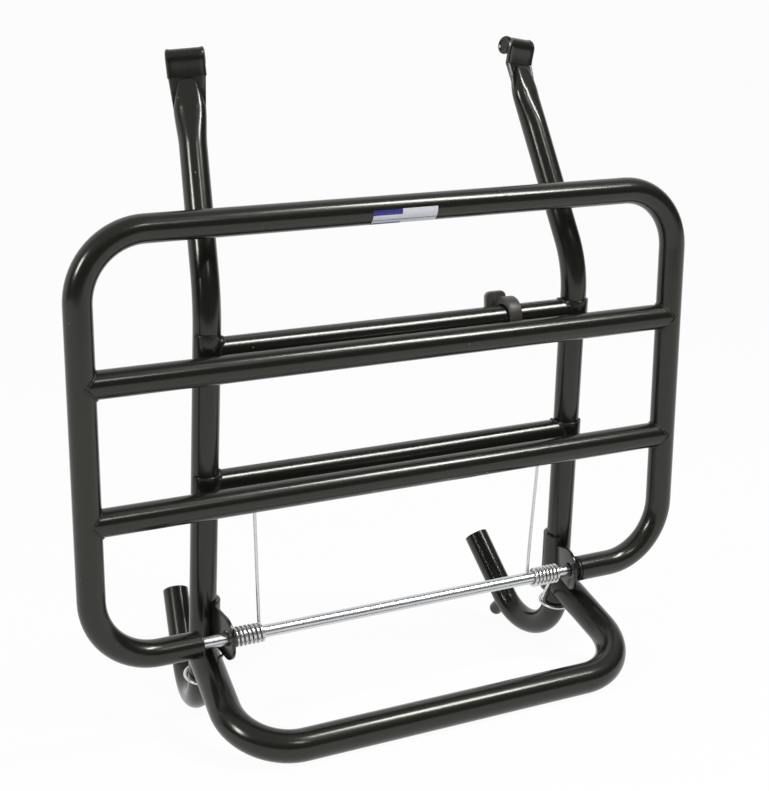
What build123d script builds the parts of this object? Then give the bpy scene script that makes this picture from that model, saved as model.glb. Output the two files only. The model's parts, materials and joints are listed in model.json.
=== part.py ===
import os
from math import atan, cos, degrees, hypot, radians, sin, tan

from build123d import *

os.makedirs("parts", exist_ok=True)

# Tube, plate and wire stock
tube_r = 9.0
tube_wall = 1.5
foot_r = 10.7
foot_wall = 1.8
plate = 2.5
rod_r = 4.25
wire_r = 1.1
weld_fit = 0.02
run_fit = 0.35

# Flap, the driving size of the rack
flap_lean = 4.0
flap_half = 215.6
flap_height = 273.4
flap_bend = 43.0
flap_upper_bar = 181.1
flap_lower_bar = 93.2

# Posts: each lies in one plane that leans in and toes in
post_inset = 75.0
post_half = flap_half - post_inset
post_back = 31.2
toe_in = 0.1621
lean_in = 0.0383
post_lean = 7.2
neck_lean = 21.4
limb_lean = 37.4
hook_r = 33.2
hook_drop = 32.0
limb_length = 53.3
bend_rise = 223.0
bend_r = 80.0
neck_length = 147.0

# Flattened heads of the posts, each turned a little about its neck and rolled tight at the top
left_head_twist = 15.0
right_head_twist = 3.0
strap_half = 12.6
strap_t = 2.6
strap_rise = 12.2
roll_r = 6.4
roll_set = 3.6
roll_core = 4.4
roll_dish = 0.8
flare_half = 11.4
flare_depth = 6.4
flare_from = 46.0
flare_ease = 36.0
flare_to = 18.0
tongue_half = 5.4
tongue_depth = 3.6
tongue_gap = 2.0
wing_lap = 1.0

# Bars between the posts, measured up the posts from the hinge
upper_bar_at = 190.5
lower_bar_at = 100.4
saddle_t = 1.6
saddle_back = 2.0

# Sticker on the flap, its edges given as angles round the tube from straight ahead
label_from = -25.0
label_width = 46.2
label_bottom = -68.0
label_top = 5.0
label_t = 0.3

# Bushes in the ends of the flap tube
plug_length = 20.0
flange_r = 8.4
flange_t = 1.8
hub_r = 5.8
hub_t = 1.0
rod_in_bush = 15.0

# Hinge brackets: the two ears stand at slightly different places and angles
right_ear_inset = 9.7
left_ear_inset = 5.5
right_ear_turn = 12.0
left_ear_turn = -2.5
ear_r = 9.5
ear_upper = 1.5
ear_lower = -4.8
ear_back = 24.0
ear_root_top = 17.0
ear_root_bottom = -9.0
hole_r = 5.0
hole_sag = 0.4
saddle_top = 20.0
saddle_bottom = -25.0
saddle_front_edge = 4.6
saddle_back_edge = 1.5
left_play = 16.5
right_play = 1.6

# Foot loop
foot_front = -54.5
foot_flare = 8.7
foot_bend = 39.0
arm_flare = 1.2
arm_back = 28.0
arm_drop = 20.0

# Pegs on the hooks
peg_r = 5.2
peg_angle = 48.0
peg_length = 12.3
peg_round = 4.2

# Rubber buffer: a band that is thicker above and behind, with a pull tab
band_inset = 55.7
band_width = 10.0
band_r = 12.5
band_up = 2.0
band_rear = 1.6
tab_width = 16.0
tab_height = 19.5
tab_t = 4.0
tab_inset = 60.0
tab_foot = 2.0

# Springs
coil_r = 5.75
coil_turns = 7
coil_pitch = 3.0
right_coil_gap = 10.8
left_coil_gap = 2.3
leg_lean = 3.3
leg_back = 3.0
leg_under = tube_r + wire_r
knee_in = 4.5
knee_front = 9.0
knee_up = 10.0
ring_angle = 7.0
ring_gap = 1.2
ring_sweep = 330.0

# Places that follow from the sizes above
frame_x = 9.4
hinge_y = -33.866
right_ear_x = frame_x + post_half - right_ear_inset
left_ear_x = frame_x - post_half + left_ear_inset
flap_right_end = right_ear_x + plate / 2 + right_play + hub_t + flange_t
flap_left_end = left_ear_x - plate / 2 - left_play - hub_t - flange_t
foot_half = post_half + foot_flare
arm_half = post_half + arm_flare
band_at = post_half - band_inset
tab_at = post_half - tab_inset
right_coil_x = right_ear_x - plate / 2 - right_coil_gap
left_coil_x = left_ear_x + plate / 2 + left_coil_gap
lean = radians(post_lean)
hinge_z = tube_r + hook_r + hook_drop * cos(lean) - hook_r * sin(lean)
mid_plane = Plane.YZ.offset(frame_x)
post_plane = Plane(
    origin=(frame_x + post_half, hinge_y + post_back, hinge_z),
    x_dir=(-toe_in, 1, 0),
    z_dir=(1, toe_in, lean_in),
)


def along(start, angle, length):
    turn = radians(angle)
    return (start[0] + length * sin(turn), start[1] + length * cos(turn))


def around(centre, radius, angle):
    turn = radians(angle)
    return (centre[0] + radius * cos(turn), centre[1] + radius * sin(turn))


def in_post_plane(point):
    return post_plane.from_local_coords(Vector(point[0], point[1], 0))


def direction(angle):
    turn = radians(angle)
    return post_plane.x_dir * sin(turn) + post_plane.y_dir * cos(turn)


# Post axis, drawn in the post's own plane with the hinge level at (0, 0)
hinge_point = (0.0, 0.0)
hook_start = along(hinge_point, -post_lean, -hook_drop)
hook_centre = around(hook_start, hook_r, post_lean)
hook_middle = around(hook_centre, hook_r, (180 + post_lean + 360 - limb_lean) / 2)
hook_end = around(hook_centre, hook_r, -limb_lean)
limb_end = along(hook_end, limb_lean, limb_length)
bend_run = bend_r * tan(radians((post_lean + neck_lean) / 2))
bend_corner = along(hinge_point, -post_lean, bend_rise)
bend_start = along(bend_corner, -post_lean, -bend_run)
bend_centre = around(bend_start, bend_r, post_lean)
bend_middle = around(bend_centre, bend_r, 180 + (post_lean - neck_lean) / 2)
bend_end = along(bend_corner, neck_lean, bend_run)
strap_foot = along(bend_corner, neck_lean, neck_length)
flare_start = along(strap_foot, neck_lean, -flare_from)
flare_next = along(strap_foot, neck_lean, -flare_ease)
flare_end = along(strap_foot, neck_lean, -flare_to)
tongue_end = along(strap_foot, neck_lean, -tongue_gap)
neck_way = direction(neck_lean)
post_way = direction(-post_lean)


# Cut across a post, with its local X to the right and its local Y to the rear
def post_section(length, side=1):
    place = in_post_plane(along(hinge_point, -post_lean, length))
    centre = (frame_x + side * (place.X - frame_x), place.Y, place.Z)
    return Plane(origin=centre, x_dir=(1, 0, 0), z_dir=(side * post_way.X, post_way.Y, post_way.Z))


# Post as on the right side: hooked foot, bent tube and a flattened head with a tight roll at the top
def upright(head_twist):
    head_way = post_plane.z_dir.rotate(Axis((0, 0, 0), neck_way), head_twist)
    neck_back = neck_way.cross(head_way)
    strap_turn = radians(neck_lean)
    wing_plane = Plane(origin=in_post_plane(strap_foot), x_dir=head_way, z_dir=head_way.cross(neck_way))
    strap_plane = Plane(
        origin=in_post_plane(strap_foot),
        x_dir=neck_back * cos(strap_turn) + neck_way * sin(strap_turn),
        z_dir=head_way,
    )
    with BuildPart() as post:
        with BuildLine(post_plane):
            Line(limb_end, hook_end)
            ThreePointArc(hook_end, hook_middle, hook_start)
            Line(hook_start, bend_start)
            ThreePointArc(bend_start, bend_middle, bend_end)
            Line(bend_end, flare_start)
        with BuildSketch(Plane(origin=in_post_plane(limb_end), z_dir=-direction(limb_lean))):
            Circle(tube_r)
            Circle(tube_r - tube_wall, mode=Mode.SUBTRACT)
        sweep()
        with BuildSketch(Plane(origin=in_post_plane(flare_start), x_dir=head_way, z_dir=neck_way)):
            Circle(tube_r)
        with BuildSketch(Plane(origin=in_post_plane(flare_next), x_dir=head_way, z_dir=neck_way)):
            Circle(tube_r)
        with BuildSketch(Plane(origin=in_post_plane(flare_end), x_dir=head_way, z_dir=neck_way)):
            Ellipse(flare_half, flare_depth)
        with BuildSketch(Plane(origin=in_post_plane(tongue_end), x_dir=head_way, z_dir=neck_way)):
            Ellipse(tongue_half, tongue_depth)
        loft()
        with BuildSketch(wing_plane):
            with BuildLine():
                Polyline(
                    (-strap_half, wing_lap),
                    (strap_half, wing_lap),
                    (flare_half, -flare_to),
                    (tube_r * 0.9, -flare_ease),
                    (-tube_r * 0.9, -flare_ease),
                    (-flare_half, -flare_to),
                    close=True,
                )
            make_face()
        extrude(amount=strap_t / 2, both=True)
        with BuildSketch(strap_plane):
            with Locations((0, strap_rise / 2)):
                Rectangle(strap_t, strap_rise)
            with Locations((roll_set, strap_rise)):
                Circle(roll_r)
        extrude(amount=strap_half, both=True)
        for end in (-1, 1):
            with BuildSketch(strap_plane.offset(end * strap_half)):
                with Locations((roll_set, strap_rise)):
                    Circle(roll_core)
            extrude(amount=-end * roll_dish, mode=Mode.SUBTRACT)
    return post


right_upright = upright(right_head_twist)
right_upright.part.label = "right_upright"
export_step(right_upright.part, "parts/right_upright.step")

left_twin = upright(left_head_twist)
with BuildPart() as left_upright:
    mirror(left_twin.part, about=mid_plane)
left_upright.part.label = "left_upright"
export_step(left_upright.part, "parts/left_upright.step")


# Bars across the posts: one half with its shell round the front of the post, then its mirror image
def post_bar(length):
    section = post_section(length)
    centre = section.origin
    with BuildPart() as bar:
        with BuildSketch(Plane(origin=(frame_x, centre.Y, centre.Z), x_dir=(0, 1, 0), z_dir=(1, 0, 0))):
            Circle(tube_r)
            Circle(tube_r - tube_wall, mode=Mode.SUBTRACT)
        extrude(amount=centre.X - frame_x)
        with BuildSketch(section):
            Circle(tube_r + weld_fit + saddle_t)
            with Locations((0, saddle_back + 2 * tube_r)):
                Rectangle(6 * tube_r, 4 * tube_r, mode=Mode.SUBTRACT)
        extrude(amount=tube_r, both=True)
        with BuildSketch(section):
            Circle(tube_r + weld_fit)
        extrude(amount=3 * tube_r, both=True, mode=Mode.SUBTRACT)
        mirror(about=mid_plane)
    return bar


upper_frame_bar = post_bar(upper_bar_at)
upper_frame_bar.part.label = "upper_frame_bar"
export_step(upper_frame_bar.part, "parts/upper_frame_bar.step")

lower_frame_bar = post_bar(lower_bar_at)
lower_frame_bar.part.label = "lower_frame_bar"
export_step(lower_frame_bar.part, "parts/lower_frame_bar.step")

# Hinge bracket: a shell round the inner side of the post and a flat ear with a loose hole
def hinge_bracket(side, ear_x, ear_turn):
    turn = radians(ear_turn)
    ear_plane = Plane(
        origin=(ear_x, hinge_y, hinge_z), x_dir=(sin(turn), cos(turn), 0), z_dir=(cos(turn), -sin(turn), 0)
    )
    with BuildPart() as bracket:
        with BuildSketch(post_section(saddle_bottom, side)):
            Circle(tube_r + weld_fit + plate)
            with Locations((side * (2 * tube_r - saddle_front_edge), -tube_r)):
                Rectangle(4 * tube_r, 2 * tube_r, mode=Mode.SUBTRACT)
            with Locations((side * (2 * tube_r - saddle_back_edge), tube_r)):
                Rectangle(4 * tube_r, 2 * tube_r, mode=Mode.SUBTRACT)
        extrude(amount=saddle_top - saddle_bottom)
        with BuildSketch(ear_plane):
            with Locations((0, ear_upper), (0, ear_lower)):
                Circle(ear_r)
            with Locations((ear_back, (ear_root_top + ear_root_bottom) / 2)):
                Rectangle(plate, ear_root_top - ear_root_bottom)
            make_hull()
        extrude(amount=plate / 2, both=True)
        with BuildSketch(post_section(2 * saddle_bottom, side)):
            Circle(tube_r + weld_fit)
        extrude(amount=3 * (saddle_top - saddle_bottom), mode=Mode.SUBTRACT)
        with BuildSketch(Plane(origin=(ear_x, hinge_y, hinge_z + hole_sag), z_dir=(1, 0, 0))):
            Circle(hole_r)
        extrude(amount=2 * plate, both=True, mode=Mode.SUBTRACT)
    return bracket


right_hinge_bracket = hinge_bracket(1, right_ear_x, right_ear_turn)
right_hinge_bracket.part.label = "right_hinge_bracket"
export_step(right_hinge_bracket.part, "parts/right_hinge_bracket.step")

left_hinge_bracket = hinge_bracket(-1, left_ear_x, left_ear_turn)
left_hinge_bracket.part.label = "left_hinge_bracket"
export_step(left_hinge_bracket.part, "parts/left_hinge_bracket.step")

# Foot loop: a flat U that slopes down from the posts to a bar on the floor
foot_run = arm_back - foot_front
foot_rise = hinge_z - arm_drop - foot_r
foot_length = hypot(foot_run, foot_rise)
splay = degrees(atan((foot_half - arm_half) / foot_length))
foot_plane = Plane(
    origin=(frame_x, hinge_y + foot_front, foot_r), x_dir=(1, 0, 0), z_dir=(0, -foot_rise, foot_run)
)
foot_tangent = foot_bend / tan(radians((90 - splay) / 2))
foot_corner = (foot_half, 0.0)
foot_centre = (foot_half - foot_tangent, foot_bend)
foot_arm_start = along(foot_corner, -splay, foot_tangent)
foot_arm_end = along(foot_corner, -splay, foot_length)
foot_bar_end = (foot_half - foot_tangent, 0.0)
with BuildPart() as foot_loop:
    with BuildLine(foot_plane):
        Line((0, 0), foot_bar_end)
        ThreePointArc(foot_bar_end, around(foot_centre, foot_bend, (splay - 90) / 2), foot_arm_start)
        Line(foot_arm_start, foot_arm_end)
    with BuildSketch(Plane(origin=foot_plane.origin, z_dir=(1, 0, 0))):
        Circle(foot_r)
        Circle(foot_r - foot_wall, mode=Mode.SUBTRACT)
    sweep()
    with BuildSketch(post_section(saddle_bottom - run_fit)):
        Circle(tube_r + plate + run_fit)
    extrude(amount=saddle_top - saddle_bottom, mode=Mode.SUBTRACT)
    with BuildSketch(post_section(saddle_bottom - 4 * tube_r)):
        Circle(tube_r + weld_fit)
        with Locations((0, 2 * tube_r)):
            Rectangle(6 * tube_r, 4 * tube_r)
    extrude(amount=8 * tube_r, mode=Mode.SUBTRACT)
    mirror(about=mid_plane)
foot_loop.part.label = "foot_loop"
export_step(foot_loop.part, "parts/foot_loop.step")

# Round-ended peg on the outer side of each hook
peg_turn = -90 + peg_angle
peg_base = around(hook_centre, hook_r, peg_turn)
peg_way = post_plane.x_dir * cos(radians(peg_turn)) + post_plane.y_dir * sin(radians(peg_turn))
with BuildPart() as right_peg:
    with BuildSketch(Plane(origin=in_post_plane(peg_base), z_dir=peg_way)):
        Circle(peg_r)
    extrude(amount=tube_r + peg_length)
    fillet(right_peg.faces().sort_by(Axis(in_post_plane(peg_base), peg_way))[-1].edges(), peg_round)
    with BuildSketch(Plane(origin=in_post_plane(limb_end), z_dir=-direction(limb_lean))):
        Circle(tube_r + weld_fit)
    with BuildLine(post_plane):
        Line(limb_end, hook_end)
        ThreePointArc(hook_end, hook_middle, hook_start)
    sweep(mode=Mode.SUBTRACT)
right_peg.part.label = "right_peg"
export_step(right_peg.part, "parts/right_peg.step")

with BuildPart() as left_peg:
    mirror(right_peg.part, about=mid_plane)
left_peg.part.label = "left_peg"
export_step(left_peg.part, "parts/left_peg.step")

# Rubber buffer: an uneven band round the upper bar with a pull tab standing behind it
band_centre = post_section(upper_bar_at).origin
with BuildPart() as rubber_buffer:
    with BuildSketch(
        Plane(origin=(frame_x + band_at, band_centre.Y, band_centre.Z), x_dir=(0, 1, 0), z_dir=(1, 0, 0))
    ):
        with Locations((band_rear, band_up)):
            Circle(band_r)
        Circle(tube_r + weld_fit, mode=Mode.SUBTRACT)
    extrude(amount=band_width / 2, both=True)
    with BuildSketch(
        Plane(
            origin=(frame_x + tab_at, band_centre.Y + tube_r + tab_t, band_centre.Z),
            x_dir=(1, 0, 0),
            z_dir=(0, -1, 0),
        )
    ):
        with Locations((0, tab_height / 2 - tab_foot)):
            RectangleRounded(tab_width, tab_height, tab_t)
    extrude(amount=tab_t - weld_fit)
rubber_buffer.part.label = "rubber_buffer"
export_step(rubber_buffer.part, "parts/rubber_buffer.step")

# Flap: one tube bent into a rectangle whose lower side is open in the middle
flap_turn = radians(flap_lean)
flap_plane = Plane(
    origin=(0, hinge_y, hinge_z), x_dir=(1, 0, 0), z_dir=(0, -cos(flap_turn), -sin(flap_turn))
)
flap_up = flap_plane.y_dir
corner_x = flap_half - flap_bend
corner_top = flap_height - flap_bend
with BuildPart() as flap_loop:
    with BuildLine(flap_plane):
        Line((flap_left_end, 0), (-corner_x, 0))
        ThreePointArc(
            (-corner_x, 0), around((-corner_x, flap_bend), flap_bend, 225), (-flap_half, flap_bend)
        )
        Line((-flap_half, flap_bend), (-flap_half, corner_top))
        ThreePointArc(
            (-flap_half, corner_top), around((-corner_x, corner_top), flap_bend, 135), (-corner_x, flap_height)
        )
        Line((-corner_x, flap_height), (corner_x, flap_height))
        ThreePointArc(
            (corner_x, flap_height), around((corner_x, corner_top), flap_bend, 45), (flap_half, corner_top)
        )
        Line((flap_half, corner_top), (flap_half, flap_bend))
        ThreePointArc(
            (flap_half, flap_bend), around((corner_x, flap_bend), flap_bend, 315), (corner_x, 0)
        )
        Line((corner_x, 0), (flap_right_end, 0))
    with BuildSketch(Plane(origin=(flap_left_end, hinge_y, hinge_z), z_dir=(-1, 0, 0))):
        Circle(tube_r)
        Circle(tube_r - tube_wall, mode=Mode.SUBTRACT)
    sweep()
flap_loop.part.label = "flap_loop"
export_step(flap_loop.part, "parts/flap_loop.step")


# Plain sticker on the front of the flap's top tube
label_centre = flap_plane.from_local_coords(Vector(0, flap_height, 0))
with BuildPart() as label:
    with BuildSketch(
        Plane(origin=(label_from, label_centre.Y, label_centre.Z), x_dir=(0, -1, 0), z_dir=(-1, 0, 0))
    ):
        with BuildLine():
            label_low = around((0, 0), tube_r + weld_fit, label_bottom)
            label_high = around((0, 0), tube_r + weld_fit, label_top)
            face_low = around((0, 0), tube_r + weld_fit + label_t, label_bottom)
            face_high = around((0, 0), tube_r + weld_fit + label_t, label_top)
            label_mid = (label_bottom + label_top) / 2
            ThreePointArc(label_low, around((0, 0), tube_r + weld_fit, label_mid), label_high)
            Line(label_high, face_high)
            ThreePointArc(face_high, around((0, 0), tube_r + weld_fit + label_t, label_mid), face_low)
            Line(face_low, label_low)
        make_face()
    extrude(amount=-label_width)
label.part.label = "label"
export_step(label.part, "parts/label.step")


# Bars across the flap, their ends cut to sit against the side tubes
def flap_bar(height):
    centre = flap_plane.from_local_coords(Vector(0, height, 0))
    with BuildPart() as bar:
        with BuildSketch(Plane(origin=centre, x_dir=(0, 1, 0), z_dir=(1, 0, 0))):
            Circle(tube_r)
            Circle(tube_r - tube_wall, mode=Mode.SUBTRACT)
        extrude(amount=flap_half, both=True)
        for side in (-1, 1):
            with BuildSketch(Plane(origin=centre + Vector(side * flap_half, 0, 0), z_dir=flap_up)):
                Circle(tube_r + weld_fit)
            extrude(amount=3 * tube_r, both=True, mode=Mode.SUBTRACT)
    return bar


upper_flap_bar = flap_bar(flap_upper_bar)
upper_flap_bar.part.label = "upper_flap_bar"
export_step(upper_flap_bar.part, "parts/upper_flap_bar.step")

lower_flap_bar = flap_bar(flap_lower_bar)
lower_flap_bar.part.label = "lower_flap_bar"
export_step(lower_flap_bar.part, "parts/lower_flap_bar.step")


# Stepped bush pushed into each end of the flap tube
def end_bush(tube_end, inward):
    with BuildPart() as bush:
        with BuildSketch(Plane(origin=(tube_end, hinge_y, hinge_z), z_dir=(-inward, 0, 0))):
            Circle(tube_r - tube_wall - weld_fit)
        extrude(amount=plug_length)
        with BuildSketch(Plane(origin=(tube_end, hinge_y, hinge_z), z_dir=(inward, 0, 0))):
            Circle(flange_r)
        extrude(amount=flange_t)
        with BuildSketch(Plane(origin=(tube_end, hinge_y, hinge_z), z_dir=(inward, 0, 0))):
            Circle(hub_r)
        extrude(amount=flange_t + hub_t)
        with BuildSketch(Plane(origin=(tube_end, hinge_y, hinge_z), z_dir=(1, 0, 0))):
            Circle(rod_r + weld_fit)
        extrude(amount=2 * plug_length, both=True, mode=Mode.SUBTRACT)
    return bush


left_end_bush = end_bush(flap_left_end, 1)
left_end_bush.part.label = "left_end_bush"
export_step(left_end_bush.part, "parts/left_end_bush.step")

right_end_bush = end_bush(flap_right_end, -1)
right_end_bush.part.label = "right_end_bush"
export_step(right_end_bush.part, "parts/right_end_bush.step")

# Plain rod through both ears into both bushes
rod_left = flap_left_end - rod_in_bush
rod_right = flap_right_end + rod_in_bush
with BuildPart() as hinge_rod:
    with BuildSketch(Plane(origin=(rod_left, hinge_y, hinge_z), z_dir=(1, 0, 0))):
        Circle(rod_r)
    extrude(amount=rod_right - rod_left)
    chamfer(hinge_rod.edges().filter_by(GeomType.CIRCLE), 0.6)
hinge_rod.part.label = "hinge_rod"
export_step(hinge_rod.part, "parts/hinge_rod.step")


# Torsion spring: coil round the rod, a long leg up to the flap bar and a leg down to a ring on the post
def torsion_spring(side, outer_x):
    coil_length = coil_turns * coil_pitch
    inner_x = outer_x - side * coil_length
    coil_plane = Plane(origin=(inner_x, hinge_y, hinge_z), x_dir=(0, 1, 0), z_dir=(side, 0, 0))
    ring_place = around(hook_centre, hook_r, 180 + post_lean + ring_angle)
    ring_turn = radians(270 + post_lean + ring_angle)
    ring_centre = in_post_plane(ring_place)
    ring_way = post_plane.x_dir * cos(ring_turn) + post_plane.y_dir * sin(ring_turn)
    if side < 0:
        ring_centre = Vector(2 * frame_x - ring_centre.X, ring_centre.Y, ring_centre.Z)
        ring_way = Vector(-ring_way.X, ring_way.Y, ring_way.Z)
    ring_plane = Plane(origin=ring_centre, x_dir=(-side, 0, 0), z_dir=ring_way)
    ring_r = tube_r + ring_gap + wire_r
    bar_centre = flap_plane.from_local_coords(Vector(0, flap_lower_bar, 0))
    leg_top = Vector(inner_x + side * leg_lean, bar_centre.Y + leg_back, bar_centre.Z - leg_under)
    ring_start = ring_plane.from_local_coords(Vector(ring_r, 0, 0))
    leg_knee = ring_start + Vector(-side * knee_in, -knee_front, knee_up)
    coil = coil_plane * Helix(pitch=coil_pitch, height=coil_length, radius=coil_r, lefthand=side > 0)
    coil_start = coil @ 0
    coil_end = coil @ 1
    with BuildPart() as spring:
        with BuildSketch(Plane(origin=coil_start, z_dir=coil % 0)):
            Circle(wire_r)
        sweep(path=coil, is_frenet=True)
        with BuildLine() as up_leg:
            Line(coil_start, leg_top)
        with BuildSketch(Plane(origin=coil_start, z_dir=up_leg.line % 0)):
            Circle(wire_r)
        sweep(path=up_leg.line)
        with BuildLine() as down_leg:
            Spline(coil_end, leg_knee, ring_start, tangents=(coil % 1, ring_plane.y_dir * -1))
        with BuildSketch(Plane(origin=coil_end, z_dir=down_leg.line % 0)):
            Circle(wire_r)
        sweep(path=down_leg.line)
        with BuildLine(ring_plane) as ring_path:
            CenterArc((0, 0), ring_r, 0, -ring_sweep)
        with BuildSketch(Plane(origin=ring_path.line @ 0, z_dir=ring_path.line % 0)):
            Circle(wire_r)
        sweep(path=ring_path.line)
        with Locations(coil_start, coil_end, ring_start):
            Sphere(wire_r + weld_fit)
    return spring


right_spring = torsion_spring(1, right_coil_x)
right_spring.part.label = "right_spring"
export_step(right_spring.part, "parts/right_spring.step")

left_spring = torsion_spring(-1, left_coil_x)
left_spring.part.label = "left_spring"
export_step(left_spring.part, "parts/left_spring.step")
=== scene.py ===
import json
from math import acos, atan2, cos, degrees, pi, radians, sin, sqrt, tan, tau

import bmesh
import bpy
from mathutils import Matrix, Vector


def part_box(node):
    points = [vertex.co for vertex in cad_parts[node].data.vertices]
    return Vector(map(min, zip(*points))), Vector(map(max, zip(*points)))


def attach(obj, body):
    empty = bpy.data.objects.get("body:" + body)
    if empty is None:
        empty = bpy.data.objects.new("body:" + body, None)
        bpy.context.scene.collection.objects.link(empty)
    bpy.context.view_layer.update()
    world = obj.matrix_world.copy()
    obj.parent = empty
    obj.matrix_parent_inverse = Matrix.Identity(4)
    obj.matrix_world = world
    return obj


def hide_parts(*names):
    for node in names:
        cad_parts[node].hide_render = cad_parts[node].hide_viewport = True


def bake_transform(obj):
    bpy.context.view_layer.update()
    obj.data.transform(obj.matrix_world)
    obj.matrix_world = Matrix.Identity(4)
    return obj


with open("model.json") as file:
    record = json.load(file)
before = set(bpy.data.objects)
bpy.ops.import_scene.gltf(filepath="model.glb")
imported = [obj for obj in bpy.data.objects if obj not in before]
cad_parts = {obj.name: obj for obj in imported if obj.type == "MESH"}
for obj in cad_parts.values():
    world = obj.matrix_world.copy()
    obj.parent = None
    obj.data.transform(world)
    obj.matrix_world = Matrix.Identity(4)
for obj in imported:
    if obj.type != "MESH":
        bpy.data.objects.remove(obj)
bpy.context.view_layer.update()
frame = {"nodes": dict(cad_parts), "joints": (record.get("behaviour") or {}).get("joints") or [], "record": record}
scene = bpy.context.scene
scene.view_settings.view_transform = "Standard"
nodes = frame["nodes"]
hinge = Vector(frame["joints"][0]["pos_m"])
print("frame loaded:", len(nodes), "nodes")


class Value:  # a shader socket that takes part in Python sums
    def __init__(self, sheet, socket):
        self.sheet = sheet
        self.socket = socket

    def work(self, operation, first, second):
        inputs = {0: first, 1: second}
        return self.sheet.add("ShaderNodeMath", {"operation": operation}, inputs)["Value"]

    def __add__(self, other):
        return self.work("ADD", self, other)

    def __radd__(self, other):
        return self.work("ADD", other, self)

    def __sub__(self, other):
        return self.work("SUBTRACT", self, other)

    def __rsub__(self, other):
        return self.work("SUBTRACT", other, self)

    def __mul__(self, other):
        return self.work("MULTIPLY", self, other)

    def __rmul__(self, other):
        return self.work("MULTIPLY", other, self)

    def __truediv__(self, other):
        return self.work("DIVIDE", self, other)

    def __gt__(self, other):
        return self.work("GREATER_THAN", self, other)

    def __lt__(self, other):
        return self.work("LESS_THAN", self, other)


class Outputs:  # what a new node gives, by socket name or number
    def __init__(self, sheet, node):
        self.sheet = sheet
        self.node = node

    def __getitem__(self, name):
        return Value(self.sheet, self.node.outputs[name])


class Sheet:  # the node tree of a material, of the world or of a modifier
    def __init__(self, tree):
        self.tree = tree
        tree.nodes.clear()

    def add(self, kind, settings=None, inputs=None):
        node = self.tree.nodes.new(kind)
        for name, setting in (settings or {}).items():
            setattr(node, name, setting)
        for name, value in (inputs or {}).items():
            if isinstance(value, Value):
                self.tree.links.new(value.socket, node.inputs[name])
            else:
                node.inputs[name].default_value = value
        return Outputs(self, node)

    def mix(self, share, first, second):
        inputs = {0: share, 6: first, 7: second}
        return self.add("ShaderNodeMix", {"data_type": "RGBA"}, inputs)[2]

    def noise(self, place, scale, detail):
        inputs = {"Vector": place, "Scale": scale, "Detail": detail}
        return self.add("ShaderNodeTexNoise", None, inputs)["Fac"]

    def bump(self, height, distance, strength):
        inputs = {"Height": height, "Distance": distance, "Strength": strength}
        return self.add("ShaderNodeBump", None, inputs)["Normal"]

    def climb(self, value, low, high, curve):  # 0 up to low, 1 from high on
        inputs = {"Value": value, "From Min": low, "From Max": high}
        return self.add("ShaderNodeMapRange", {"interpolation_type": curve}, inputs)["Result"]


def newMaterial(name):
    material = bpy.data.materials.new(name)
    material.use_nodes = True
    return material, Sheet(material.node_tree)


def finishMaterial(sheet, settings):
    shader = sheet.add("ShaderNodeBsdfPrincipled", None, settings)
    sheet.add("ShaderNodeOutputMaterial", None, {"Surface": shader["BSDF"]})


def linked(name, data):  # a new object in the scene
    thing = bpy.data.objects.new(name, data)
    scene.collection.objects.link(thing)
    return thing


cameraView = {  # fitted to the photograph, metres and degrees
    "place": hinge + Vector((-0.4836, -0.9395, 0.3781)),
    "heading": 26.94,
    "tilt": -12.28,
    "roll": -1.534,
    "focalPixels": 1623.88,
    "imageSize": (769, 791),
    "principalPoint": (384.99, 393.42),
    "sensorWidth": 36.0,
    "clip": (0.01, 50),
}


def makeCamera(view):
    camera = bpy.data.cameras.new("photoCamera")
    cameraObject = linked("photoCamera", camera)
    longSide = max(view["imageSize"])
    camera.sensor_width = view["sensorWidth"]
    camera.lens = view["focalPixels"] / longSide * view["sensorWidth"]
    camera.shift_x = (view["imageSize"][0] / 2 - view["principalPoint"][0]) / longSide
    camera.shift_y = (view["principalPoint"][1] - view["imageSize"][1] / 2) / longSide
    camera.clip_start, camera.clip_end = view["clip"]
    turn = Matrix.Rotation(-radians(view["heading"]), 4, "Z")
    turn @= Matrix.Rotation(radians(90 + view["tilt"]), 4, "X")
    turn @= Matrix.Rotation(radians(view["roll"]), 4, "Z")
    cameraObject.matrix_world = Matrix.Translation(view["place"]) @ turn
    scene.camera = cameraObject


makeCamera(cameraView)
print("camera made")

blackPaint = {  # satin gloss powder coat with a few specks of dust in it
    "colour": (0.0098, 0.0104, 0.0080, 1),
    "speck": (0.16, 0.16, 0.14, 1),
    "gloss": (1.0, 1.0, 0.93, 1),
    "speckScale": 130.0,
    "speckSize": 0.07,
    "speckShare": 0.04,
    "cloudScale": 35.0,
    "roughness": 0.2,
    "roughnessSpread": 0.05,
    "peelScale": 700.0,
    "peelHeight": 0.000006,
    "peelStrength": 0.5,
}


def makeBlackPaint(look):
    material, sheet = newMaterial("blackPaint")
    place = sheet.add("ShaderNodeTexCoord")["Object"]
    cloud = sheet.noise(place, look["cloudScale"], detail=3.0)
    peel = sheet.noise(place, look["peelScale"], detail=1.0)
    cellInputs = {"Vector": place, "Scale": look["speckScale"]}
    cell = sheet.add("ShaderNodeTexVoronoi", None, cellInputs)
    chance = sheet.add("ShaderNodeSeparateColor", None, {"Color": cell["Color"]})["Red"]
    speck = (cell["Distance"] < look["speckSize"]) * (chance < look["speckShare"])
    finishMaterial(sheet, {
        "Base Color": sheet.mix(speck, look["colour"], look["speck"]),
        "Roughness": look["roughness"] + look["roughnessSpread"] * (cloud - 0.5),
        "Specular Tint": look["gloss"],
        "Normal": sheet.bump(peel, look["peelHeight"], look["peelStrength"]),
    })
    return material


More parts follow.
